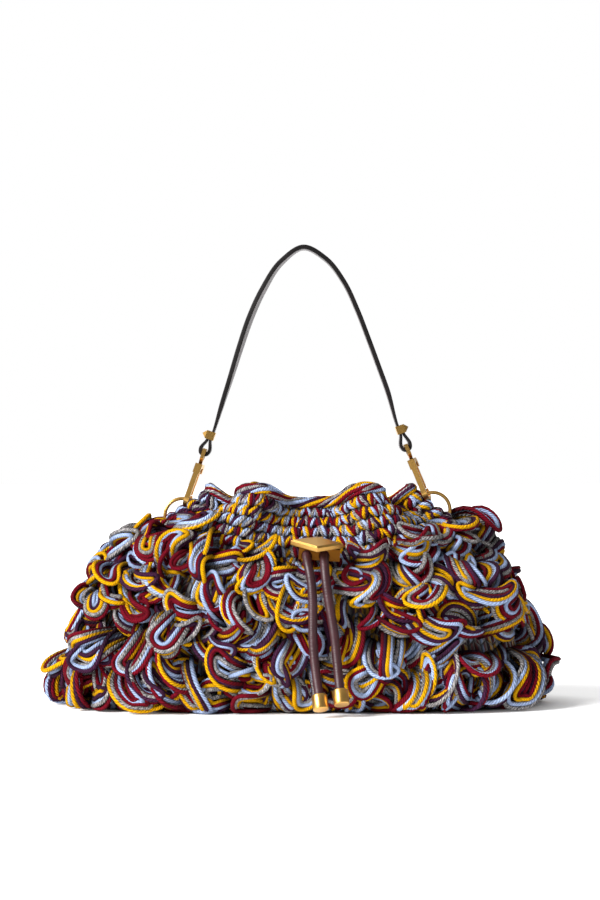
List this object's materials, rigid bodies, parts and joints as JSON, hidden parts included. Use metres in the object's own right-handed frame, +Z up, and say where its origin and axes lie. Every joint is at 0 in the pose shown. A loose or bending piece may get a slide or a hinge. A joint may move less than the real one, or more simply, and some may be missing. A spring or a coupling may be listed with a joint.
{
  "type": "crochet drawstring handbag",
  "caption": "Slouchy crocheted pouch bag covered in bunched yarn loops, with a leather drawcord and metal toggle, cord caps, and a short leather handle on snap hooks.",
  "frame": {"origin": "middle of the bag's footprint, on the surface it stands on", "axes": "+X along the bag's width to the right as seen from the front, -Y towards the front with the toggle, +Z up"},
  "size_m": [0.3418, 0.1777, 0.3064],
  "materials": {
    "mixed_yarn": "single crochet of five yarns held together: mustard, powder blue, wine red, dark plum and heather grey",
    "loop_yarn": "long loops of the same five plied yarns, soft and slightly hairy",
    "black_leather": "smooth near-black leather with painted edges",
    "oxblood_leather": "round stitched oxblood leather with fine cross wrinkles",
    "antique_gold": "cast metal with an aged gold plating, brighter on worn edges"
  },
  "bodies": {
    "root": {"pouch": "mixed_yarn", "loop_row_1": "loop_yarn", "loop_row_2": "loop_yarn", "loop_row_3": "loop_yarn", "loop_row_4": "loop_yarn", "loop_row_5": "loop_yarn", "loop_row_6": "loop_yarn", "toggle_plate": "antique_gold", "toggle_block": "antique_gold", "handle_strap": "black_leather", "drawcord_left": "oxblood_leather", "cord_cap_left": "antique_gold", "strap_keeper_left": "antique_gold", "swivel_eye_left": "antique_gold", "hook_left": "antique_gold", "shoulder_ring_left": "antique_gold", "drawcord_right": "oxblood_leather", "cord_cap_right": "antique_gold", "strap_keeper_right": "antique_gold", "swivel_eye_right": "antique_gold", "hook_right": "antique_gold", "shoulder_ring_right": "antique_gold"},
    "gate_left": {"hook_gate_left": "antique_gold"},
    "gate_right": {"hook_gate_right": "antique_gold"}
  },
  "joints": [
    {"name": "gate_left_hinge", "type": "hinge", "parent": "root", "child": "gate_left", "pos_m": [-0.06778, 0.00446, 0.15538], "axis": [-0.9352, 0.1392, 0.3257], "range_deg": [0, 20], "stiffness_Nm_per_rad": 0.002, "springref_deg": -20.05},
    {"name": "gate_right_hinge", "type": "hinge", "parent": "root", "child": "gate_right", "pos_m": [0.07728, 0.00439, 0.15932], "axis": [-0.8969, 0.225, -0.3807], "range_deg": [0, 20], "stiffness_Nm_per_rad": 0.002, "springref_deg": -20.05}
  ]
}
